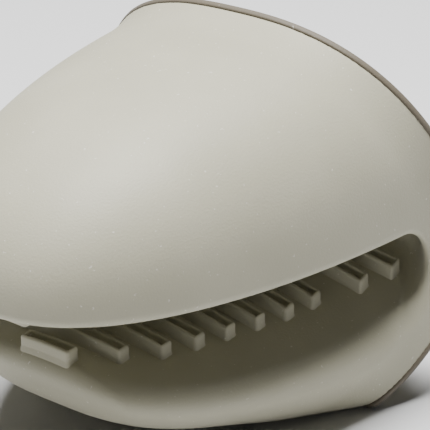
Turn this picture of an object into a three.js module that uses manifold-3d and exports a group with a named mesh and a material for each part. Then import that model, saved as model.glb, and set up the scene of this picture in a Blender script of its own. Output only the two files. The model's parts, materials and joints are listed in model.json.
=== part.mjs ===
// A moulded silicone pinch mitt for hot pans: a large finger pocket over a smaller thumb pocket,
// joined by a bending web, with an open cuff behind and ribs on both gripping faces.
//
// Millimetres, +Z up, jaw tips towards -X, cuff towards +X, symmetric about Y = 0. The shapes are
// worked out about a datum close to the bend of the jaws, and the finished group is moved so that
// the mitt stands on Z = 0 with its bounding box centred on the Z axis.

import * as THREE from 'three';
import { mergeVertices } from 'three/addons/utils/BufferGeometryUtils.js';
import Module from 'manifold-3d';

// ---- Driving dimensions ----

const WALL = 2.0;
const JOIN_GAP = 0.3;

const FULL_WIDTH_X = 20.7;
const FINGER = { reach: 103.8, halfWidth: 42.4, height: 38.5, nose: 2.1, side: 2.55, crown: 2.28 };
const THUMB = { reach: 90.3, halfWidth: 43.6, height: 27.0, nose: 1.95, side: 3.2, crown: 1.8 };
const LIP_Z = 4.2;
const LIP_SLOPE = -0.033;
const THUMB_WIDEST_Z = -11.3;
const BELLY = { startX: -46.4, endX: 17.5, growth: 11.1, sideGrowth: 0.9 };
const FLOOR_Z = -33.5;

const BEND_X = 5.0;
const GRIP_Z = -6.2;
const GRIP_SLOPE = 0.092;
const GRIP_BOW = 0.0008;
const GRIP_CROWN = 0.0055;
const CROWN_FADE = { from: -20, to: 24 };
const THUMB_NOSE_BACK = 3.0;

const RIM_TOP = { x: 13.4, z: 5.3, slope: -0.53 };
const RIM_BOTTOM = { x: 4.0, z: -20.0, slope: 1.15 };
const RIM_BEND = 8;
const BEAD_RADIUS = 1.5;
const FLARE_LENGTH = 10;
const FLARE_GROWTH = 0.04;

const THUMB_SPLIT_Z = -19.5;
const GUSSET_HALF_HEIGHT = 9.6;
const GUSSET_SPREAD = THREE.MathUtils.degToRad(10);

const RIB_WIDTH = 3.2;
const RIB_HEIGHT = 2.7;
const RIB_WALL = 0.85;
const RIB_GROOVE_DEPTH = 1.5;
const RIB_CORNER = 1.0;
const RIB_STEPS = 4;
const RIB_PITCH = 7.12;
const THUMB_RIB_START_X = -64.1;
const THUMB_RIB_HALF_LENGTHS = [6, 12.5, 17, 19.5, 21.5, 23.5, 25.5, 27];
const HEEL_RIBS = [
  { name: 'heel_rib_front', x: -3.7, halfLength: 31.5 },
  { name: 'heel_rib_back', x: 3.4, halfLength: 34.5 },
];
const FINGER_RIB_START_X = -76.0;
const FINGER_RIB_HALF_LENGTHS = [7, 14.5, 19, 22, 24, 25.5, 27, 28, 29, 30];

const WEB_MARGIN = 0.8;

const FAR = 120;
const SECTION_POINTS = 24;
const NOSE_STATIONS = 15;
const TIP_STATIONS = 5;
const MOUTH_END_STEPS = 10;
const MOUTH_HALF_WIDTH = 56;
const MOUTH_STEP = 8;
const RIM_HALF_HEIGHT = 60;
const RIM_STEPS = 60;
const BEAD_SIDES = 8;
const MERGE_DISTANCE = 1e-4;
const ROUNDS = 30;

const SILICONE = { color: 0xb4ad9f, roughness: 0.62, metalness: 0 };
const SILICONE_SHADED = { color: 0x8d887d, roughness: 0.66, metalness: 0 };
const SILICONE_EDGE = { color: 0x7d7364, roughness: 0.6, metalness: 0 };

// ---- Solids ----

const manifold = await Module();
manifold.setup();

function toSolid(geometry) {
  const bare = geometry.clone();
  bare.deleteAttribute('normal');
  bare.deleteAttribute('uv');
  const merged = mergeVertices(bare, MERGE_DISTANCE);
  const mesh = new manifold.Mesh({
    numProp: 3,
    vertProperties: new Float32Array(merged.attributes.position.array),
    triVerts: new Uint32Array(merged.index.array),
  });
  return new manifold.Manifold(mesh);
}

function toGeometry(solid) {
  const mesh = solid.getMesh();
  const geometry = new THREE.BufferGeometry();
  geometry.setAttribute('position', new THREE.BufferAttribute(mesh.vertProperties, 3));
  geometry.setIndex(new THREE.BufferAttribute(mesh.triVerts, 1));
  return geometry;
}

function signedVolume(points, triangles) {
  let volume = 0;
  for (const [a, b, c] of triangles) {
    volume += points[a].dot(new THREE.Vector3().crossVectors(points[b], points[c]));
  }
  return volume / 6;
}

function closedGeometry(points, triangles) {
  const outward = signedVolume(points, triangles) > 0;
  const index = triangles.flatMap(([a, b, c]) => (outward ? [a, b, c] : [a, c, b]));
  const geometry = new THREE.BufferGeometry().setFromPoints(points);
  geometry.setIndex(index);
  return geometry;
}

// Triangles between two loops of points that hold the same number of points.
function bandTriangles(first, second, count) {
  const triangles = [];
  for (let i = 0; i < count; i += 1) {
    const next = (i + 1) % count;
    triangles.push([first + i, first + next, second + next]);
    triangles.push([first + i, second + next, second + i]);
  }
  return triangles;
}

// Triangles of a flat loop, wound the same way round as the loop itself.
function flatCap(loop) {
  const normal = new THREE.Vector3();
  loop.forEach((point, i) => normal.add(point.clone().cross(loop[(i + 1) % loop.length])));
  const facing = new THREE.Vector3(0, 0, 1);
  const turn = new THREE.Quaternion().setFromUnitVectors(normal.normalize(), facing);
  const flat = loop.map((point) => {
    const turned = point.clone().applyQuaternion(turn);
    return new THREE.Vector2(turned.x, turned.y);
  });
  return THREE.ShapeUtils.triangulateShape(flat, []).map(([p, q, r]) => {
    const turnsLeft = THREE.ShapeUtils.area([flat[p], flat[q], flat[r]]) > 0;
    return turnsLeft ? [p, q, r] : [p, r, q];
  });
}

// Triangles of a long loop whose second half mirrors its first, so each strip runs straight across.
function mirroredCap(loop) {
  const last = loop.length - 1;
  const triangles = [];
  for (let i = 0; i + 1 < loop.length / 2; i += 1) {
    triangles.push([i, i + 1, last - i - 1]);
    triangles.push([i, last - i - 1, last - i]);
  }
  return triangles;
}

// A closed solid through a row of loops, with a cap on its first and last loop.
function loft(loops, cap = flatCap) {
  const count = loops[0].length;
  const lastStart = (loops.length - 1) * count;
  const triangles = cap(loops[0]).map(([p, q, r]) => [p, r, q]);
  for (let row = 0; row + 1 < loops.length; row += 1) {
    triangles.push(...bandTriangles(row * count, (row + 1) * count, count));
  }
  for (const [p, q, r] of cap(loops.at(-1))) {
    triangles.push([lastStart + p, lastStart + q, lastStart + r]);
  }
  return closedGeometry(loops.flat(), triangles);
}

// A solid with an outline in the XZ plane that runs the same way across the whole mitt.
function crosswisePrism(outline, halfDepth) {
  const shape = new THREE.Shape(outline.map(([x, z]) => new THREE.Vector2(x, z)));
  const geometry = new THREE.ExtrudeGeometry(shape, { depth: 2 * halfDepth, bevelEnabled: false });
  geometry.rotateX(Math.PI / 2);
  geometry.translate(0, halfDepth, 0);
  return toSolid(geometry);
}

// ---- Outer form ----

function lipHeight(x) {
  return LIP_Z + LIP_SLOPE * x;
}

// The edge of the opening seen from the side: it leans forward above and below its bend.
function rimX(z) {
  const upper = RIM_TOP.x + RIM_TOP.slope * (z - RIM_TOP.z);
  const lower = RIM_BOTTOM.x + RIM_BOTTOM.slope * (z - RIM_BOTTOM.z);
  return (upper + lower - Math.hypot(upper - lower, RIM_BEND)) / 2;
}

function rimSlope(z) {
  const step = 0.01;
  return (rimX(z + step) - rimX(z - step)) / (2 * step);
}

function rimDistance(x, z) {
  return (rimX(z) - x) / Math.hypot(1, rimSlope(z));
}

// How much of a pocket's section is left at x: 1 at its full width, 0 at its nose.
function sectionShare(pocket, x, inset) {
  const forward = Math.max(0, (FULL_WIDTH_X - x) / (pocket.reach - inset));
  return Math.max(1e-3, 1 - Math.min(1, forward) ** pocket.nose);
}

// Half of a section, as a superellipse arch from +Y over to -Y, upwards or downwards.
function archPoints(pocket, x, inset) {
  const { baseZ, direction } = pocket;
  const share = sectionShare(pocket, x, inset);
  const points = [];
  for (let i = 0; i <= SECTION_POINTS; i += 1) {
    const angle = (Math.PI * i) / SECTION_POINTS;
    const across = (share * Math.cos(angle) ** 2) ** (1 / pocket.side);
    const upward = (share * Math.sin(angle) ** 2) ** (1 / pocket.crown);
    const y = Math.sign(Math.cos(angle)) * (pocket.halfWidth - inset) * across;
    const z = baseZ + direction * (pocket.height - inset) * upward;
    points.push(new THREE.Vector3(x, y, Math.max(z, FLOOR_Z + inset)));
  }
  return points;
}

// The cuff swells slightly just before its rim.
function flare(point) {
  const nearness = THREE.MathUtils.clamp(1 - rimDistance(point.x, point.z) / FLARE_LENGTH, 0, 1);
  const growth = 1 + FLARE_GROWTH * nearness ** 2;
  const z = RIM_TOP.z + (point.z - RIM_TOP.z) * growth;
  return new THREE.Vector3(point.x, point.y * growth, Math.max(z, FLOOR_Z));
}

// The thumb pocket's belly deepens and squares up towards the cuff.
function thumbSectionAt(x) {
  const share = THREE.MathUtils.smoothstep(x, BELLY.startX, BELLY.endX);
  const height = THUMB.height + BELLY.growth * share;
  const side = THUMB.side + BELLY.sideGrowth * share;
  return { ...THUMB, baseZ: THUMB_WIDEST_Z, height, side, direction: -1 };
}

function bodySection(x, inset) {
  const finger = { ...FINGER, baseZ: lipHeight(x), direction: 1 };
  const upper = archPoints(finger, x, inset);
  const lower = archPoints(thumbSectionAt(x), x, inset).reverse();
  return [...upper, ...lower].map(flare);
}

// Stations close up towards each nose, where the outline turns quickly.
function bodyStations(inset) {
  const stations = [40 + inset, 30, FULL_WIDTH_X, 16];
  const thumbReach = THUMB.reach - inset;
  for (let i = 1; i <= NOSE_STATIONS; i += 1) {
    const turn = (Math.PI * i) / (2 * NOSE_STATIONS);
    stations.push(FULL_WIDTH_X - thumbReach * Math.sin(turn));
  }
  const rest = FINGER.reach - THUMB.reach;
  for (let i = 1; i <= TIP_STATIONS; i += 1) {
    const turn = (Math.PI * i) / (2 * TIP_STATIONS);
    stations.push(FULL_WIDTH_X - thumbReach - rest * Math.sin(turn));
  }
  return stations;
}

function bodySolid(inset) {
  const loops = bodyStations(inset).map((x) => bodySection(x, inset));
  return toSolid(loft(loops));
}

// ---- Mouth between the jaws ----

function gripHeight(x, y) {
  const reach = Math.min(x, BEND_X);
  const crown = GRIP_CROWN * (1 - THREE.MathUtils.smoothstep(reach, CROWN_FADE.from, CROWN_FADE.to));
  return GRIP_Z + GRIP_SLOPE * reach + GRIP_BOW * reach ** 2 - crown * y ** 2;
}

// Side outline of the mouth at one distance y from the middle, grown by the wall for the hollow.
function mouthSection(y, grown) {
  const noseX = FULL_WIDTH_X - THUMB.reach + THUMB_NOSE_BACK + grown;
  const top = lipHeight(BEND_X) + grown;
  const bottom = gripHeight(BEND_X, y) - grown;
  const radius = (top - bottom) / 2;
  const points = [[-FAR, lipHeight(-FAR) + grown]];
  for (let i = 0; i <= MOUTH_END_STEPS; i += 1) {
    const angle = Math.PI * (0.5 - i / MOUTH_END_STEPS);
    points.push([BEND_X + radius * Math.cos(angle), bottom + radius * (1 + Math.sin(angle))]);
  }
  for (let i = 1; i <= MOUTH_END_STEPS; i += 1) {
    const x = BEND_X + ((noseX - BEND_X) * i) / MOUTH_END_STEPS;
    points.push([x, gripHeight(x, y) - grown]);
  }
  points.push([noseX - 2, gripHeight(noseX, y) - 2 - grown]);
  points.push([noseX - 4, -FAR]);
  points.push([-FAR, -FAR]);
  return points.map(([x, z]) => new THREE.Vector3(x, y, z));
}

function mouthSolid(grown) {
  const loops = [];
  for (let y = -MOUTH_HALF_WIDTH; y <= MOUTH_HALF_WIDTH; y += MOUTH_STEP) {
    loops.push(mouthSection(y, grown));
  }
  return toSolid(loft(loops));
}

// Everything behind the cuff's opening.
function behindRim() {
  const outline = [[2 * FAR, FAR]];
  for (let i = 0; i <= RIM_STEPS; i += 1) {
    const z = RIM_HALF_HEIGHT * (1 - (2 * i) / RIM_STEPS);
    outline.push([rimX(z), z]);
  }
  outline.push([2 * FAR, -FAR]);
  outline.reverse();
  return crosswisePrism(outline, FAR);
}

function mouldedWall() {
  const pockets = bodySolid(WALL).subtract(mouthSolid(WALL));
  return bodySolid(0).subtract(mouthSolid(0)).subtract(pockets).subtract(behindRim());
}

// ---- Regions that divide the moulding where it changes its job ----

const BEND_Z = (lipHeight(BEND_X) + gripHeight(BEND_X, 0)) / 2;
const WEB_OUTER_RADIUS = (lipHeight(BEND_X) - gripHeight(BEND_X, 0)) / 2 + WALL;
const HALF_GAP = JOIN_GAP / 2;

// Outline of one jaw's share: in front of the bend, and past the gusset behind it.
function jawOutline(side) {
  const shoulder = BEND_Z + side * (GUSSET_HALF_HEIGHT + HALF_GAP);
  const rise = side * (FAR - BEND_X) * Math.tan(GUSSET_SPREAD);
  return [
    [-FAR, BEND_Z],
    [BEND_X - HALF_GAP, BEND_Z],
    [BEND_X - HALF_GAP, shoulder],
    [FAR, shoulder + rise],
    [FAR, side * FAR],
    [-FAR, side * FAR],
  ];
}

function gussetOutline() {
  const height = GUSSET_HALF_HEIGHT - HALF_GAP;
  const rise = (FAR - BEND_X) * Math.tan(GUSSET_SPREAD);
  return [
    [BEND_X + HALF_GAP, BEND_Z - height],
    [FAR, BEND_Z - height - rise],
    [FAR, BEND_Z + height + rise],
    [BEND_X + HALF_GAP, BEND_Z + height],
  ];
}

// The gripping wall of the finger pocket, below the floor of the pocket.
function fingerPanelOutline(shift) {
  const height = (x) => lipHeight(x) + WALL + shift;
  return [[-FAR, height(-FAR)], [BEND_X, height(BEND_X)], [BEND_X, BEND_Z], [-FAR, BEND_Z]];
}

// The thumb pocket's gripping wall, with the low sides of the cuff behind it.
function thumbPanelOutline(shift) {
  const bottom = THUMB_SPLIT_Z - shift;
  return [[-FAR, bottom], [FAR, bottom], [FAR, BEND_Z], [-FAR, BEND_Z]];
}

function webOutline(radius) {
  const points = [[BEND_X + HALF_GAP, BEND_Z]];
  for (let i = 0; i <= 12; i += 1) {
    const angle = Math.PI * (i / 12 - 0.5);
    const x = BEND_X + HALF_GAP + radius * Math.cos(angle);
    points.push([x, BEND_Z + radius * Math.sin(angle)]);
  }
  return points;
}

const WEB_HALF_WIDTH = FINGER.halfWidth - WALL - 1;

// ---- Rim ----

// The middle of the wall at the opening, all the way round.
function rimCurve() {
  const points = bodySection(RIM_TOP.x, WALL / 2).map((start, i) => {
    let point = start;
    for (let round = 0; round < ROUNDS; round += 1) {
      point = bodySection(rimX(point.z), WALL / 2)[i];
    }
    return point;
  });
  return new THREE.CatmullRomCurve3(points, true);
}

// How far round the rim, from +Y over the top, the gusset's upper or lower edge crosses it.
function gussetCrossing(curve, side) {
  let inside = 0;
  let outside = 0.25;
  for (let round = 0; round < ROUNDS; round += 1) {
    const middle = (inside + outside) / 2;
    const point = curve.getPointAt(side > 0 ? middle : 1 - middle);
    const rise = GUSSET_HALF_HEIGHT + (point.x - BEND_X) * Math.tan(GUSSET_SPREAD);
    if (side * (point.z - BEND_Z) > rise) {
      outside = middle;
    } else {
      inside = middle;
    }
  }
  return inside;
}

// A round bead that follows the edge of the cuff over part of its way round.
function rimBead(curve, from, to, steps) {
  const setback = BEAD_RADIUS + JOIN_GAP;
  const loops = [];
  for (let i = 0; i <= steps; i += 1) {
    const share = (1 + THREE.MathUtils.lerp(from, to, i / steps)) % 1;
    const middle = curve.getPointAt(share);
    const lean = Math.hypot(1, rimSlope(middle.z));
    const z = Math.max(middle.z - (setback * rimSlope(middle.z)) / lean, FLOOR_Z + BEAD_RADIUS);
    const centre = new THREE.Vector3(rimX(z) + setback * Math.hypot(1, rimSlope(z)), middle.y, z);
    const backward = new THREE.Vector3(1, 0, -rimSlope(z)).normalize();
    const outward = curve.getTangentAt(share).cross(backward).normalize();
    const loop = [];
    for (let k = 0; k < BEAD_SIDES; k += 1) {
      const turn = (2 * Math.PI * k) / BEAD_SIDES;
      const point = centre.clone().addScaledVector(outward, BEAD_RADIUS * Math.cos(turn));
      loop.push(point.addScaledVector(backward, BEAD_RADIUS * Math.sin(turn)));
    }
    loops.push(loop);
  }
  return loft(loops);
}

// ---- Ribs ----

// Plan outline of a rib. Its first half runs up one long side, and its second half mirrors it.
function ribOutline(halfWidth, halfLength, corner) {
  const straight = halfLength - corner;
  const side = [[halfWidth - corner, -halfLength]];
  for (let i = 0; i <= RIB_STEPS; i += 1) {
    side.push([halfWidth, straight * ((2 * i) / RIB_STEPS - 1)]);
  }
  side.push([halfWidth - corner, halfLength]);
  const mirrored = side.map(([x, y]) => [-x, y]).reverse();
  return [...side, ...mirrored];
}

// A raised bar with a long groove in its top, at x on a gripping face. Its foot follows the face,
// and it stands up from the thumb's face or hangs down from the finger's.
function rib(x, halfLength, faceHeight, direction) {
  const outer = ribOutline(RIB_WIDTH / 2, halfLength, RIB_CORNER);
  const innerCorner = RIB_CORNER - RIB_WALL / 2;
  const inner = ribOutline(RIB_WIDTH / 2 - RIB_WALL, halfLength - RIB_WALL, innerCorner);
  const at = (outline, rise) => outline.map(([across, y]) => {
    const foot = faceHeight(x + across, y) - faceHeight(x, 0);
    return new THREE.Vector3(across, y, foot + direction * rise);
  });
  const grooveFloor = RIB_HEIGHT - RIB_GROOVE_DEPTH;
  const loops = [at(outer, 0), at(outer, RIB_HEIGHT), at(inner, RIB_HEIGHT), at(inner, grooveFloor)];
  return loft(loops, mirroredCap);
}

// ---- Assembly ----

const mitt = new THREE.Group();

function addMesh(name, geometry, finish) {
  const material = new THREE.MeshStandardMaterial(finish);
  const mesh = new THREE.Mesh(geometry, material);
  mesh.name = name;
  mitt.add(mesh);
  return mesh;
}

function addWalls() {
  const wall = mouldedWall();
  const share = (outline) => wall.intersect(crosswisePrism(outline, FAR));
  const upperShare = share(jawOutline(1));
  const lowerShare = share(jawOutline(-1));
  const webRadius = WEB_OUTER_RADIUS + WEB_MARGIN;
  const webBlock = crosswisePrism(webOutline(webRadius), WEB_HALF_WIDTH);
  const webRoom = crosswisePrism(webOutline(webRadius + JOIN_GAP), WEB_HALF_WIDTH + JOIN_GAP);
  const sides = share(gussetOutline()).subtract(webRoom);
  const block = crosswisePrism([[-FAR, -FAR], [FAR, -FAR], [FAR, FAR], [-FAR, FAR]], FAR);
  const leftHalf = block.translate([0, FAR, 0]);
  const rightHalf = block.translate([0, -FAR, 0]);

  const panelOf = (jaw, outline) => jaw.intersect(crosswisePrism(outline(-HALF_GAP), FAR));
  const shellOf = (jaw, outline) => jaw.subtract(crosswisePrism(outline(HALF_GAP), FAR));
  addMesh('finger_shell', toGeometry(shellOf(upperShare, fingerPanelOutline)), SILICONE);
  addMesh('finger_grip_panel', toGeometry(panelOf(upperShare, fingerPanelOutline)), SILICONE_SHADED);
  addMesh('thumb_shell', toGeometry(shellOf(lowerShare, thumbPanelOutline)), SILICONE);
  addMesh('thumb_grip_panel', toGeometry(panelOf(lowerShare, thumbPanelOutline)), SILICONE_SHADED);
  addMesh('web_hinge', toGeometry(wall.intersect(webBlock)), SILICONE_SHADED);
  addMesh('gusset_left', toGeometry(sides.intersect(leftHalf)), SILICONE);
  addMesh('gusset_right', toGeometry(sides.intersect(rightHalf)), SILICONE);
}

function addBeads() {
  const curve = rimCurve();
  const gap = HALF_GAP / curve.getLength();
  const top = gussetCrossing(curve, 1);
  const bottom = gussetCrossing(curve, -1);
  const add = (name, from, to, steps) => {
    addMesh(name, rimBead(curve, from + gap, to - gap, steps), SILICONE_EDGE);
  };
  add('rim_bead_top', top, 0.5 - top, 28);
  add('rim_bead_bottom', 0.5 + bottom, 1 - bottom, 28);
  add('rim_bead_left', -bottom, top, 8);
  add('rim_bead_right', 0.5 - top, 0.5 + bottom, 8);
}

function addRib(name, x, halfLength, faceHeight, direction) {
  const mesh = addMesh(name, rib(x, halfLength, faceHeight, direction), SILICONE_SHADED);
  mesh.position.set(x, 0, faceHeight(x, 0) + direction * JOIN_GAP);
}

function addRibs() {
  THUMB_RIB_HALF_LENGTHS.forEach((halfLength, i) => {
    const x = THUMB_RIB_START_X + i * RIB_PITCH;
    addRib(`thumb_rib_${i + 1}`, x, halfLength, gripHeight, 1);
  });
  HEEL_RIBS.forEach(({ name, x, halfLength }) => addRib(name, x, halfLength, gripHeight, 1));
  FINGER_RIB_HALF_LENGTHS.forEach((halfLength, i) => {
    const x = FINGER_RIB_START_X + i * RIB_PITCH;
    addRib(`finger_rib_${i + 1}`, x, halfLength, lipHeight, -1);
  });
}

addWalls();
addBeads();
addRibs();

const box = new THREE.Box3().setFromObject(mitt);
mitt.position.set(-(box.min.x + box.max.x) / 2, 0, -box.min.z);

export default mitt;
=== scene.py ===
"""Looks of the silicone pinch mitt: its moulded wall, rim bead, grooved ribs, silicone and light.

The shape is worked out in millimetres about a datum near the bend of the jaws, then moved into the
shared frame. The moulded wall is one smooth surface found from a distance function, and it is
divided into pieces that ride on the jaws or stay fixed between them.
"""

import json
import math

import bpy
import numpy as np
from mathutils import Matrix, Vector


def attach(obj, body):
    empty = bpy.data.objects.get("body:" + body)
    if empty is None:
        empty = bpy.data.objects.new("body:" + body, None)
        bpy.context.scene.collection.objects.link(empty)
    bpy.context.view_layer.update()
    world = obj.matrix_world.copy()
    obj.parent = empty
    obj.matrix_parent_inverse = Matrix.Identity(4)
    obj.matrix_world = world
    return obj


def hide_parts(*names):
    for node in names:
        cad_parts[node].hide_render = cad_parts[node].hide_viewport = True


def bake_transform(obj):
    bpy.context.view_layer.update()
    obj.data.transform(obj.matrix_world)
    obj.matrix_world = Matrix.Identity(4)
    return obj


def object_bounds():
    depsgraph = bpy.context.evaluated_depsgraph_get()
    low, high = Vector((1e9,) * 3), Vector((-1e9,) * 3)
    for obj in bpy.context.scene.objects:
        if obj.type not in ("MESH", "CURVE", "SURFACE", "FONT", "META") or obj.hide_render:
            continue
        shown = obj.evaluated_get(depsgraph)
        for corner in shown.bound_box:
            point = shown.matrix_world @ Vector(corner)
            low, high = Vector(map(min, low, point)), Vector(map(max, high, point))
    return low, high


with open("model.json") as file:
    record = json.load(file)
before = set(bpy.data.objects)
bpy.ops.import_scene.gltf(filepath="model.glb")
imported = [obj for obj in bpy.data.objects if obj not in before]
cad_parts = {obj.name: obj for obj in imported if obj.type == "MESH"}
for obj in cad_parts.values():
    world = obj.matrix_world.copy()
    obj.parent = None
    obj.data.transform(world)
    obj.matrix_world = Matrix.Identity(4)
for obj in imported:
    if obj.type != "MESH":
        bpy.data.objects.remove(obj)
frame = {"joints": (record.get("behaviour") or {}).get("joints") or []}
cad_low, cad_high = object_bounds()

# ---- Driving dimensions, in millimetres about the datum ----

MM = 0.001
WALL = 2.0
FULL_WIDTH_X = 20.7
FINGER = {"reach": 103.8, "half_width": 42.4, "height": 38.5, "nose": 2.1, "side": 2.55, "crown": 2.28}
THUMB = {"reach": 90.3, "half_width": 43.6, "height": 27.0, "nose": 1.95, "side": 3.2, "crown": 1.8}
LIP_Z = 4.2
LIP_SLOPE = -0.033
THUMB_WIDEST_Z = -11.3
BELLY = {"start_x": -46.4, "end_x": 17.5, "growth": 11.1, "side_growth": 0.9}
FLOOR_Z = -33.5
FLOOR_EDGE = 3.0

BEND_X = 5.0
GRIP_Z = -6.2
GRIP_SLOPE = 0.092
GRIP_BOW = 0.0008
GRIP_CROWN = 0.0055
CROWN_FADE = (-20.0, 24.0)
NOSE_X = -68.6
NOSE_EDGE = 4.0
CORNER_ROLL = 13.0
CORNER_ROLL_Y = (33.0, 44.0)

FINGER_EDGE = 2.2
THUMB_EDGE = 6.0
WEB_EDGE = 3.5
LEAST_EDGE = 0.4
# The mouth's edge turns crisp over this share of its half height, and from jaw to web over this x.
CRISP_BAND = (-0.2, 0.8)
WEB_BAND = (-8.0, 2.0)

RIM_TOP = {"x": 13.4, "z": 5.3, "slope": -0.53}
RIM_BOTTOM = {"x": 4.0, "z": -20.0, "slope": 1.15}
RIM_BEND = 8.0
RIM_MIDDLE_Z = 4.0
FLARE_LENGTH = 10.0
FLARE_GROWTH = 0.04
BEAD_HALF_THICKNESS = 1.45
BEAD_HALF_DEPTH = 0.8
BEAD_SETBACK = 0.9
BEAD_ROUNDNESS = 0.5
BEAD_STEPS = 360
BEAD_SIDES = 24
WALL_END = 1.4

THUMB_SPLIT_Z = -19.5
GUSSET_HALF_HEIGHT = 9.6
GUSSET_RISE = math.tan(math.radians(10.0))
WEB_SIDE_GAP = 1.0
WEB_HALF_WIDTH = FINGER["half_width"] - WALL - WEB_SIDE_GAP
WEB_MARGIN = 0.8
PANEL_MARGIN = 0.1

RIB_HALF_WIDTH = 1.6
RIB_CORNER = 0.6
LEAST_CORNER = 0.1
CORNER_STEPS = 4
RIB_SIDE_STEPS = 12
RIB_PITCH = 7.12
THUMB_RIB_START_X = -64.1
THUMB_RIB_HALF_LENGTHS = (6.0, 12.5, 17.0, 19.5, 21.5, 23.5, 25.5, 27.0)
HEEL_RIBS = {"heel_rib_front": (-3.7, 31.5), "heel_rib_back": (3.4, 34.5)}
FINGER_RIB_START_X = -76.0
FINGER_RIB_HALF_LENGTHS = (7.0, 14.5, 19.0, 22.0, 24.0, 25.5, 27.0, 28.0, 29.0, 30.0)

# A rib's profile from its foot to the floor of its groove: how far in from its side, how high.
RIB_PROFILE = (
    (-0.25, -1.40),
    (-0.18, 0.05),
    (-0.03, 0.35),
    (0.00, 0.80),
    (0.00, 2.05),
    (0.07, 2.36),
    (0.22, 2.59),
    (0.43, 2.70),
    (0.62, 2.66),
    (0.79, 2.46),
    (0.87, 2.10),
    (0.91, 1.60),
    (1.00, 1.33),
    (1.20, 1.25),
)

GRID_STEP = 0.9
GRID_MARGIN = 3.0
SLOPE_STEP = 0.05
RIM_SLOPE_STEP = 0.01
LEAST_STEEPNESS = 1e-3
SETTLE_ROUNDS = 5
LEAST_SETTLE_STEEPNESS = 0.05
RING_SEARCH = (5.0, 70.0)
RING_SEARCH_ROUNDS = 40

# ---- Distances ----


def smoothstep(value, start, end):
    share = np.clip((value - start) / (end - start), 0.0, 1.0)
    return share * share * (3.0 - 2.0 * share)


def mix(first, second, share):
    return first + (second - first) * share


def round_max(first, second, radius):
    """The inside of both distances, with the edge between them rounded off."""
    corner = np.hypot(np.maximum(first + radius, 0.0), np.maximum(second + radius, 0.0))
    return np.minimum(np.maximum(first, second), -radius) + corner


def lip_height(x):
    return LIP_Z + LIP_SLOPE * x


def grip_height(x, y):
    reach = np.minimum(x, BEND_X)
    crown = GRIP_CROWN * (1.0 - smoothstep(reach, *CROWN_FADE))
    return GRIP_Z + GRIP_SLOPE * reach + GRIP_BOW * reach**2 - crown * y**2


BEND_Z = 0.5 * (lip_height(BEND_X) + grip_height(BEND_X, 0.0))
WEB_OUTER_RADIUS = 0.5 * (lip_height(BEND_X) - grip_height(BEND_X, 0.0)) + WALL


def rim_x(z):
    """The edge of the opening seen from the side: it leans forward above and below its bend."""
    upper = RIM_TOP["x"] + RIM_TOP["slope"] * (z - RIM_TOP["z"])
    lower = RIM_BOTTOM["x"] + RIM_BOTTOM["slope"] * (z - RIM_BOTTOM["z"])
    return 0.5 * (upper + lower - np.hypot(upper - lower, RIM_BEND))


def rim_slope(z):
    return (rim_x(z + RIM_SLOPE_STEP) - rim_x(z - RIM_SLOPE_STEP)) / (2.0 * RIM_SLOPE_STEP)


def behind_rim(x, z):
    """How far behind the edge of the opening a point is: negative in front of it."""
    return (x - rim_x(z)) / np.hypot(1.0, rim_slope(z))


def pocket_share(pocket, x, y, rise, height, side, inset):
    """How far from a pocket's core to its wall a point is: 1 on the wall, more outside."""
    forward = np.clip(FULL_WIDTH_X - x, 0.0, None) / (pocket["reach"] - inset)
    across = np.abs(y) / (pocket["half_width"] - inset)
    upward = np.clip(rise, 0.0, None) / (height - inset)
    return forward ** pocket["nose"] + across**side + upward ** pocket["crown"]


def body_share(x, y, z, inset):
    """1 on the outside of the two pockets and the cuff together, as if there were no mouth."""
    nearness = np.clip(1.0 + behind_rim(x, z) / FLARE_LENGTH, 0.0, 1.0)
    growth = 1.0 + FLARE_GROWTH * nearness**2
    y = y / growth
    z = RIM_TOP["z"] + (z - RIM_TOP["z"]) / growth
    lip = lip_height(x)
    share = smoothstep(x, BELLY["start_x"], BELLY["end_x"])
    belly = THUMB["height"] + BELLY["growth"] * share
    side = THUMB["side"] + BELLY["side_growth"] * share
    finger = pocket_share(FINGER, x, y, z - lip, FINGER["height"], FINGER["side"], inset)
    thumb = pocket_share(THUMB, x, y, THUMB_WIDEST_Z - z, belly, side, inset)
    lower = smoothstep(lip - z, 0.0, lip - THUMB_WIDEST_Z)
    return np.sqrt(mix(finger, thumb, lower))


def slope_of(function, x, y, z):
    """The gradient of a function of x, y and z, by central differences."""
    step = SLOPE_STEP
    along_x = function(x + step, y, z) - function(x - step, y, z)
    along_y = function(x, y + step, z) - function(x, y - step, z)
    along_z = function(x, y, z + step) - function(x, y, z - step)
    return np.stack([along_x, along_y, along_z], axis=-1) / (2.0 * step)


def body_distance(x, y, z, inset):
    """Distance outside the body, drawn in by inset all round and cut off flat at the floor."""

    def share(*point):
        return body_share(*point, inset)

    steepness = np.linalg.norm(slope_of(share, x, y, z), axis=-1)
    distance = (share(x, y, z) - 1.0) / np.maximum(steepness, LEAST_STEEPNESS)
    return round_max(distance, FLOOR_Z + inset - z, FLOOR_EDGE)


def mouth_end(y):
    """Where the mouth's round end starts: further forward near the sides, where the web rolls out."""
    return BEND_X - CORNER_ROLL * smoothstep(np.abs(y), *CORNER_ROLL_Y)


def mouth_shape(x, y):
    """Where the mouth's round end starts, and the middle and half height of the mouth."""
    end = mouth_end(y)
    reach = np.minimum(x, end)
    top = lip_height(reach)
    bottom = grip_height(reach, y)
    return end, 0.5 * (top + bottom), 0.5 * (top - bottom)


def mouth_clearance(x, y, z):
    """How deep in the mouth between the jaws a point is: negative inside a jaw or behind the web."""
    end, middle, half_height = mouth_shape(x, y)
    slot = half_height - np.hypot(np.maximum(x - end, 0.0), z - middle)
    in_front = np.minimum(NOSE_X - x, middle - z)
    return round_max(slot, in_front, NOSE_EDGE)


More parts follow.
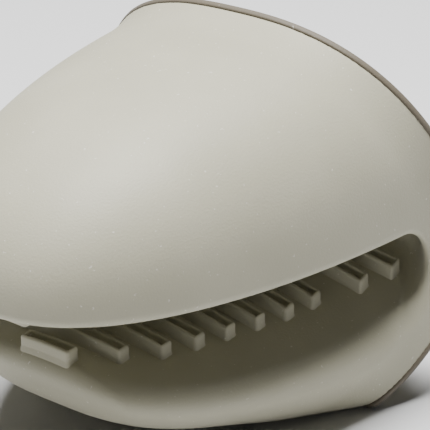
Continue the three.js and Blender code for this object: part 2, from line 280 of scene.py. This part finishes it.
def edge_radius(x, y, z):
    """How round the edge of the mouth is: crisp along the finger's lip, soft along the thumb's."""
    end, middle, half_height = mouth_shape(x, y)
    crispness = smoothstep((z - middle) / half_height, *CRISP_BAND)
    along_jaw = mix(THUMB_EDGE, FINGER_EDGE, crispness)
    round_web = mix(WEB_EDGE, FINGER_EDGE, crispness)
    return mix(along_jaw, round_web, smoothstep(x, end + WEB_BAND[0], end + WEB_BAND[1]))


def wall_distance(x, y, z):
    """Distance outside the moulded wall: negative within its thickness."""
    edge = edge_radius(x, y, z)
    clearance = mouth_clearance(x, y, z)
    outer = round_max(body_distance(x, y, z, 0.0), clearance, edge)
    inner_edge = np.maximum(edge - WALL, LEAST_EDGE)
    hollow = round_max(body_distance(x, y, z, WALL), clearance + WALL, inner_edge)
    wall = round_max(outer, -hollow, LEAST_EDGE)
    return round_max(wall, behind_rim(x, z) - WALL_END, LEAST_EDGE)


# ---- The surface of a distance function, as quads ----


def sample_grid():
    """The grid's lines along x, y and z, a little beyond the part on every side."""
    datum = frame_datum()
    low = (np.array(cad_low) - datum) / MM - GRID_MARGIN
    high = (np.array(cad_high) - datum) / MM + GRID_MARGIN
    return [np.arange(start, stop, GRID_STEP) for start, stop in zip(low, high)]


def cell_points(values, axes):
    """One point in each grid cell that the surface passes through, and each cell's number."""
    counts = [len(axis) - 1 for axis in axes]
    inside = values < 0.0
    total = np.zeros(counts)
    offsets = np.zeros(counts + [3])
    corners = [(i, j, k) for i in (0, 1) for j in (0, 1) for k in (0, 1)]

    def at_corner(array, step):
        return array[tuple(slice(s, s + n) for s, n in zip(step, counts))]

    for step in corners:
        for axis in range(3):
            if step[axis]:
                continue
            far = tuple(s + (a == axis) for a, s in enumerate(step))
            crosses = at_corner(inside, step) != at_corner(inside, far)
            near_value = at_corner(values, step)
            share = near_value / np.where(crosses, near_value - at_corner(values, far), 1.0)
            total += crosses
            for a in range(3):
                offsets[..., a] += crosses * (step[a] + (share if a == axis else 0.0))

    active = total > 0
    number = np.full(counts, -1)
    number[active] = np.arange(active.sum())
    cells = np.argwhere(active)
    middle = offsets[active] / total[active][:, None]
    starts = np.array([axis[0] for axis in axes])
    return starts + (cells + middle) * GRID_STEP, number


def cell_quads(values, number):
    """One quad round each grid edge that the surface crosses, facing outwards."""
    inside = values < 0.0
    quads = []
    for axis in range(3):
        first, second = (axis + 1) % 3, (axis + 2) % 3
        ahead = np.roll(inside, -1, axis=axis)
        edges = inside != ahead
        edges[tuple(slice(-1, None) if a == axis else slice(None) for a in range(3))] = False
        where = np.argwhere(edges)
        round_edge = []
        for back_first, back_second in ((1, 1), (0, 1), (0, 0), (1, 0)):
            cell = where.copy()
            cell[:, first] -= back_first
            cell[:, second] -= back_second
            round_edge.append(number[tuple(cell.T)])
        quad = np.stack(round_edge, axis=1)
        leaves = inside[tuple(where.T)]
        quad[~leaves] = quad[~leaves][:, ::-1]
        quads.append(quad)
    return np.concatenate(quads)


def settle(points, distance):
    """Moves each point onto the surface, and gives the outward normal there."""
    furthest = 0.5 * GRID_STEP
    for _ in range(SETTLE_ROUNDS):
        slope = slope_of(distance, *points.T)
        steepness = np.maximum(np.sum(slope * slope, axis=1), LEAST_SETTLE_STEEPNESS)
        move = np.clip(distance(*points.T) / steepness, -furthest, furthest)
        points = points - slope * move[:, None]
    normals = slope_of(distance, *points.T)
    return points, normals / np.maximum(np.linalg.norm(normals, axis=1), 1e-6)[:, None]


def wall_surface():
    """Points, normals and quads of the whole moulded wall, inside and out."""
    axes = sample_grid()
    layers = []
    for x in axes[0]:
        y, z = np.meshgrid(axes[1], axes[2], indexing="ij")
        layers.append(wall_distance(np.full_like(y, x), y, z))
    values = np.stack(layers)
    points, number = cell_points(values, axes)
    quads = cell_quads(values, number)
    points, normals = settle(points, wall_distance)
    return points, normals, quads


# ---- Into the shared frame ----


def frame_datum():
    """Where the datum lies in the shared frame, in metres."""
    hinge = Vector(frame["joints"][0]["pos_m"])
    return np.array(hinge) - MM * np.array([BEND_X, 0.0, BEND_Z])


def to_frame(points):
    return frame_datum() + MM * points


def make_piece(name, points, faces, material, node, normals=None):
    """A smooth mesh in the shared frame that replaces a node of the CAD."""
    mesh = bpy.data.meshes.new(name)
    mesh.from_pydata(to_frame(points).tolist(), [], faces)
    mesh.polygons.foreach_set("use_smooth", [True] * len(mesh.polygons))
    mesh.materials.append(material)
    if normals is not None:
        mesh.normals_split_custom_set_from_vertices(normals.tolist())
    piece = bpy.data.objects.new(name, mesh)
    bpy.context.scene.collection.objects.link(piece)
    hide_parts(node)
    return piece


def carry(piece, body):
    """The piece rides on a body, or has its transform baked into the shared frame where body is None.
    """
    if body:
        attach(piece, body)
        return
    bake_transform(piece)


def take_faces(points, normals, faces, chosen):
    """The chosen faces with only the points they use."""
    used, renumbered = np.unique(faces[chosen], return_inverse=True)
    return points[used], normals[used], renumbered.reshape(-1, faces.shape[1])


# ---- Moulded wall ----


def in_gusset(x, y, z):
    """Whether a point is in the side of the cuff that bends, which grows taller towards the rim."""
    height = GUSSET_HALF_HEIGHT + (x - BEND_X) * GUSSET_RISE
    return (x > mouth_end(y)) & (np.abs(z - BEND_Z) < height)


def wall_regions(centres):
    """Which share of the moulding each face belongs to: piece name, node, body and faces."""
    x, y, z = centres.T
    ahead = x < mouth_end(y)
    upper = z > BEND_Z
    to_bend = np.hypot(x - BEND_X, z - BEND_Z)
    web = ~ahead & (to_bend < WEB_OUTER_RADIUS + WEB_MARGIN) & (np.abs(y) < WEB_HALF_WIDTH)
    side = in_gusset(x, y, z) & ~web
    rest = ~ahead & ~web & ~side
    finger_floor = ahead & upper & (z < lip_height(x) + WALL + PANEL_MARGIN)
    thumb_roof = ahead & ~upper & (z > THUMB_SPLIT_Z)
    return [
        ("finger_pocket_dome", "finger_shell", "finger", ahead & upper & ~finger_floor),
        ("finger_pocket_grip_face", "finger_grip_panel", "finger", finger_floor),
        ("thumb_pocket_bowl", "thumb_shell", "thumb", ahead & ~upper & ~thumb_roof),
        ("thumb_pocket_grip_face", "thumb_grip_panel", "thumb", thumb_roof),
        ("bending_web", "web_hinge", None, web),
        ("cuff_left_side", "gusset_left", None, side & (y > 0)),
        ("cuff_right_side", "gusset_right", None, side & (y <= 0)),
        ("cuff_top", "finger_shell", None, rest & upper),
        ("cuff_bottom", "thumb_grip_panel", None, rest & ~upper),
    ]


def make_wall(material):
    points, normals, quads = wall_surface()
    centres = points[quads].mean(axis=1)
    for name, node, body, chosen in wall_regions(centres):
        own, own_normals, faces = take_faces(points, normals, quads, chosen)
        piece = make_piece(name, own, faces.tolist(), material, node, own_normals)
        carry(piece, body)


# ---- Rim ----


def turns(count):
    """Equal steps of angle once round."""
    return 2.0 * math.pi * np.arange(count) / count


def rim_ring():
    """Points round the middle of the wall at the edge of the opening, by halving towards it."""
    turn = turns(BEAD_STEPS)
    near = np.full(BEAD_STEPS, RING_SEARCH[0])
    far = np.full(BEAD_STEPS, RING_SEARCH[1])
    for _ in range(RING_SEARCH_ROUNDS):
        middle = 0.5 * (near + far)
        y = middle * np.cos(turn)
        z = RIM_MIDDLE_Z + middle * np.sin(turn)
        inside = (body_share(rim_x(z), y, z, 0.5 * WALL) < 1.0) & (z > FLOOR_Z + 0.5 * WALL)
        near = np.where(inside, middle, near)
        far = np.where(inside, far, middle)
    return np.stack([rim_x(z), y, z], axis=1)


def bead_path():
    """The middle of the bead, and the directions out of the wall and backwards at each step."""
    middle = rim_ring()
    slope = rim_slope(middle[:, 2])
    z = middle[:, 2] - BEAD_SETBACK * slope / np.hypot(1.0, slope)
    z = np.maximum(z, FLOOR_Z + BEAD_HALF_THICKNESS)
    x = rim_x(z) + BEAD_SETBACK * np.hypot(1.0, rim_slope(z))
    path = np.stack([x, middle[:, 1], z], axis=1)
    backward = np.stack([np.ones(BEAD_STEPS), np.zeros(BEAD_STEPS), -rim_slope(z)], axis=1)
    backward /= np.linalg.norm(backward, axis=1)[:, None]
    along = np.roll(path, -1, axis=0) - np.roll(path, 1, axis=0)
    outward = np.cross(along, backward)
    outward /= np.linalg.norm(outward, axis=1)[:, None]
    return path, outward, backward


def signed_power(value, exponent):
    return np.sign(value) * np.abs(value) ** exponent


def spread(outward_share, backward_share, outward, backward):
    """Directions at every step of the bead's path for every side of its section."""
    across = outward_share[None, :, None] * outward[:, None, :]
    return across + backward_share[None, :, None] * backward[:, None, :]


def bead_surface():
    """Points, normals and quads of a bead with a rounded square section."""
    path, outward, backward = bead_path()
    cosine = np.cos(turns(BEAD_SIDES))
    sine = np.sin(turns(BEAD_SIDES))
    points = path[:, None, :] + spread(
        BEAD_HALF_THICKNESS * signed_power(cosine, BEAD_ROUNDNESS),
        BEAD_HALF_DEPTH * signed_power(sine, BEAD_ROUNDNESS),
        outward,
        backward,
    )
    normals = spread(
        signed_power(cosine, 2.0 - BEAD_ROUNDNESS) / BEAD_HALF_THICKNESS,
        signed_power(sine, 2.0 - BEAD_ROUNDNESS) / BEAD_HALF_DEPTH,
        outward,
        backward,
    )
    normals /= np.linalg.norm(normals, axis=2)[:, :, None]
    row, column = np.meshgrid(np.arange(BEAD_STEPS), np.arange(BEAD_SIDES), indexing="ij")
    next_row = (row + 1) % BEAD_STEPS
    next_column = (column + 1) % BEAD_SIDES
    corners = [(row, column), (next_row, column), (next_row, next_column), (row, next_column)]
    quads = np.stack([(r * BEAD_SIDES + c).ravel() for r, c in corners], axis=1)
    return points.reshape(-1, 3), normals.reshape(-1, 3), quads


def make_bead(material):
    points, normals, quads = bead_surface()
    x, y, z = points[quads].mean(axis=1).T
    side = in_gusset(x, y, z)
    arcs = {
        "rim_bead_top": ~side & (z > BEND_Z),
        "rim_bead_bottom": ~side & (z <= BEND_Z),
        "rim_bead_left": side & (y > 0),
        "rim_bead_right": side & (y <= 0),
    }
    for node, chosen in arcs.items():
        own, own_normals, faces = take_faces(points, normals, quads, chosen)
        piece = make_piece(f"moulded_{node}", own, faces.tolist(), material, node, own_normals)
        carry(piece, None)


# ---- Ribs ----


def rounded_bar(half_width, half_length, inset):
    """Outline of a bar with rounded corners, drawn in by inset, as x and y."""
    radius = max(RIB_CORNER - inset, LEAST_CORNER)
    reach = half_width - inset - radius
    straight = half_length - inset - radius
    turn = np.linspace(0.0, 0.5 * math.pi, CORNER_STEPS + 1)
    right = np.stack([reach + radius * np.cos(turn), straight + radius * np.sin(turn)], axis=1)
    end = np.concatenate([right, right[::-1] * (-1.0, 1.0)])
    run = np.linspace(straight, -straight, RIB_SIDE_STEPS + 1)[1:-1]
    side = np.stack([np.full_like(run, inset - half_width), run], axis=1)
    half = np.concatenate([end, side])
    return np.concatenate([half, -half])


def rib_loops(x, half_length, face_height, direction):
    """The rib's profile carried round its outline, following the gripping face below its foot."""
    loops = []
    for inset, rise in RIB_PROFILE:
        outline = rounded_bar(RIB_HALF_WIDTH, half_length, inset)
        across = x + outline[:, 0]
        foot = face_height(across, outline[:, 1])
        loops.append(np.stack([across, outline[:, 1], foot + direction * rise], axis=1))
    return loops


def rib_faces(rows, count):
    """Quads between the loops, and over the floor of the groove from one side to the other."""
    faces = []
    for row in range(rows - 1):
        near, far = row * count, (row + 1) * count
        for column in range(count):
            following = (column + 1) % count
            faces.append((near + column, near + following, far + following, far + column))
    last = (rows - 1) * count
    half = count // 2
    for i in range(half - 1):
        opposite = last + count - 1 - i
        faces.append((last + i, last + i + 1, opposite - 1, opposite))
    return faces


def make_rib(node, x, half_length, face_height, direction, body, material):
    """A grooved bar on a gripping face, standing up from it or hanging below it."""
    loops = rib_loops(x, half_length, face_height, direction)
    faces = rib_faces(len(loops), len(loops[0]))
    if direction < 0:
        faces = [face[::-1] for face in faces]
    points = np.concatenate(loops)
    piece = make_piece(f"moulded_{node}", points, faces, material, node)
    carry(piece, body)


def finger_face(x, _):
    """The finger's gripping face is flat from side to side."""
    return lip_height(x)


def make_ribs(material):
    for i, half_length in enumerate(THUMB_RIB_HALF_LENGTHS):
        x = THUMB_RIB_START_X + i * RIB_PITCH
        make_rib(f"thumb_rib_{i + 1}", x, half_length, grip_height, 1, "thumb", material)
    for node, (x, half_length) in HEEL_RIBS.items():
        make_rib(node, x, half_length, grip_height, 1, "thumb", material)
    for i, half_length in enumerate(FINGER_RIB_HALF_LENGTHS):
        x = FINGER_RIB_START_X + i * RIB_PITCH
        make_rib(f"finger_rib_{i + 1}", x, half_length, finger_face, -1, "finger", material)


# ---- Materials ----


SKIN_COLOURS = ((0.372, 0.355, 0.262), (0.397, 0.379, 0.284))
# The bead's colours: the skin's silicone painted much darker and browner, as painted shade of the
# bead's shaded front face.
BEAD_PAINTED_SHADE_COLOURS = ((0.10, 0.083, 0.055), (0.125, 0.104, 0.072))
DUST_COLOUR = (0.72, 0.70, 0.64)
SKIN_ROUGHNESS = 0.55
EDGE_ROUGHNESS = 0.6
SPECULAR = 0.35
SHEEN = 0.12
SHEEN_ROUGHNESS = 0.6
# Noise, as its scale per metre and its detail, and where its ramp starts and stops.
CLOUDS = (60.0, 4.0)
CLOUD_RAMP = (0.35, 0.65)
DUST = (1300.0, 1.0)
DUST_RAMP = (0.73, 0.80)
DUST_COVER = 0.5
GRAIN = (2200.0, 3.0)
GRAIN_STRENGTH = 0.25
GRAIN_DEPTH = 0.0002


def new_material(name):
    material = bpy.data.materials.new(name)
    material.use_nodes = True
    nodes = material.node_tree.nodes
    return material, nodes, material.node_tree.links, nodes["Principled BSDF"]


def add_noise(nodes, links, coordinates, scale, detail):
    noise = nodes.new("ShaderNodeTexNoise")
    noise.inputs["Scale"].default_value = scale
    noise.inputs["Detail"].default_value = detail
    links.new(coordinates.outputs["Object"], noise.inputs["Vector"])
    return noise


def add_ramp(nodes, links, noise, positions, colours):
    ramp = nodes.new("ShaderNodeValToRGB")
    for stop, position, colour in zip(ramp.color_ramp.elements, positions, colours):
        stop.position = position
        stop.color = colour + (1.0,)
    links.new(noise.outputs["Fac"], ramp.inputs["Fac"])
    return ramp


def add_mottling(nodes, links, coordinates, surface, colours):
    """Faint cloudy mottling with specks of dust."""
    clouds = add_noise(nodes, links, coordinates, *CLOUDS)
    tint = add_ramp(nodes, links, clouds, CLOUD_RAMP, colours)
    dust = add_noise(nodes, links, coordinates, *DUST)
    speck = add_ramp(nodes, links, dust, DUST_RAMP, ((0.0,) * 3, (DUST_COVER,) * 3))
    blend = nodes.new("ShaderNodeMix")
    blend.data_type = "RGBA"
    links.new(speck.outputs["Color"], blend.inputs["Factor"])
    links.new(tint.outputs["Color"], blend.inputs["A"])
    blend.inputs["B"].default_value = DUST_COLOUR + (1.0,)
    links.new(blend.outputs["Result"], surface.inputs["Base Color"])


def add_grain(nodes, links, coordinates, surface):
    """The fine texture of a moulded skin."""
    grain = add_noise(nodes, links, coordinates, *GRAIN)
    bump = nodes.new("ShaderNodeBump")
    bump.inputs["Strength"].default_value = GRAIN_STRENGTH
    bump.inputs["Distance"].default_value = GRAIN_DEPTH
    links.new(grain.outputs["Fac"], bump.inputs["Height"])
    links.new(bump.outputs["Normal"], surface.inputs["Normal"])


def silicone(name, colours, roughness):
    """Matte moulded silicone."""
    material, nodes, links, surface = new_material(name)
    coordinates = nodes.new("ShaderNodeTexCoord")
    add_mottling(nodes, links, coordinates, surface, colours)
    add_grain(nodes, links, coordinates, surface)
    surface.inputs["Roughness"].default_value = roughness
    surface.inputs["Specular IOR Level"].default_value = SPECULAR
    surface.inputs["Sheen Weight"].default_value = SHEEN
    surface.inputs["Sheen Roughness"].default_value = SHEEN_ROUGHNESS
    return material


def plain(name, colour, roughness):
    """One colour all over, with no shine."""
    material, _, _, surface = new_material(name)
    surface.inputs["Base Color"].default_value = colour + (1.0,)
    surface.inputs["Roughness"].default_value = roughness
    surface.inputs["Specular IOR Level"].default_value = 0.0
    return material


# ---- Room ----

FLOOR_SIZE = 6.0
FLOOR_COLOUR = (0.62, 0.62, 0.62)
FLOOR_ROUGHNESS = 0.9
KEY_LIGHT = {"offset": (0.03, 0.05, 0.90), "size": 0.50, "power": 29.0}
FILL_LIGHT = {"offset": (-0.40, -0.80, 0.30), "size": 0.60, "power": 0.1}
WORLD_COLOUR = (1.0, 1.0, 1.0)
WORLD_STRENGTH = 0.04
CAMERA_AZIMUTH = math.radians(-52.95)
CAMERA_ELEVATION = math.radians(24.22)
CAMERA_DISTANCE = 0.3748
CAMERA_LENS = 151.9
AIM_FROM_CENTRE = Vector((0.01954, 0.0, -0.00454))


def object_centre():
    return 0.5 * (cad_low + cad_high)


def point_at(thing, target):
    thing.rotation_euler = (target - thing.location).to_track_quat("-Z", "Y").to_euler()


def make_floor():
    half = 0.5 * FLOOR_SIZE
    corners = [(-half, -half, 0.0), (half, -half, 0.0), (half, half, 0.0), (-half, half, 0.0)]
    mesh = bpy.data.meshes.new("floor")
    mesh.from_pydata(corners, [], [(0, 1, 2, 3)])
    mesh.materials.append(plain("pale floor", FLOOR_COLOUR, FLOOR_ROUGHNESS))
    floor = bpy.data.objects.new("floor", mesh)
    floor.location.z = cad_low.z
    bpy.context.scene.collection.objects.link(floor)


def add_softbox(name, offset, size, power):
    light = bpy.data.lights.new(name, "AREA")
    light.shape = "DISK"
    light.size = size
    light.energy = power
    lamp = bpy.data.objects.new(name, light)
    lamp.location = object_centre() + Vector(offset)
    point_at(lamp, object_centre())
    bpy.context.scene.collection.objects.link(lamp)


def make_lights():
    add_softbox("key softbox", **KEY_LIGHT)
    add_softbox("fill softbox", **FILL_LIGHT)
    world = bpy.data.worlds.new("studio")
    world.use_nodes = True
    background = world.node_tree.nodes["Background"]
    background.inputs["Color"].default_value = WORLD_COLOUR + (1.0,)
    background.inputs["Strength"].default_value = WORLD_STRENGTH
    bpy.context.scene.world = world


def make_camera():
    data = bpy.data.cameras.new("camera")
    data.lens = CAMERA_LENS
    data.dof.use_dof = False
    camera = bpy.data.objects.new("camera", data)
    back = Vector((
        math.sin(CAMERA_AZIMUTH) * math.cos(CAMERA_ELEVATION),
        -math.cos(CAMERA_AZIMUTH) * math.cos(CAMERA_ELEVATION),
        math.sin(CAMERA_ELEVATION),
    ))
    target = object_centre() + AIM_FROM_CENTRE
    camera.location = target + CAMERA_DISTANCE * back
    point_at(camera, target)
    bpy.context.scene.collection.objects.link(camera)
    bpy.context.scene.camera = camera


# ---- Everything together ----


skin = silicone("warm grey silicone", SKIN_COLOURS, SKIN_ROUGHNESS)
# The bead gets a darker copy of the skin's silicone, as painted shade.
edge = silicone("bead silicone with painted shade", BEAD_PAINTED_SHADE_COLOURS, EDGE_ROUGHNESS)
make_wall(skin)
make_bead(edge)
make_ribs(skin)
make_floor()
make_lights()
make_camera()
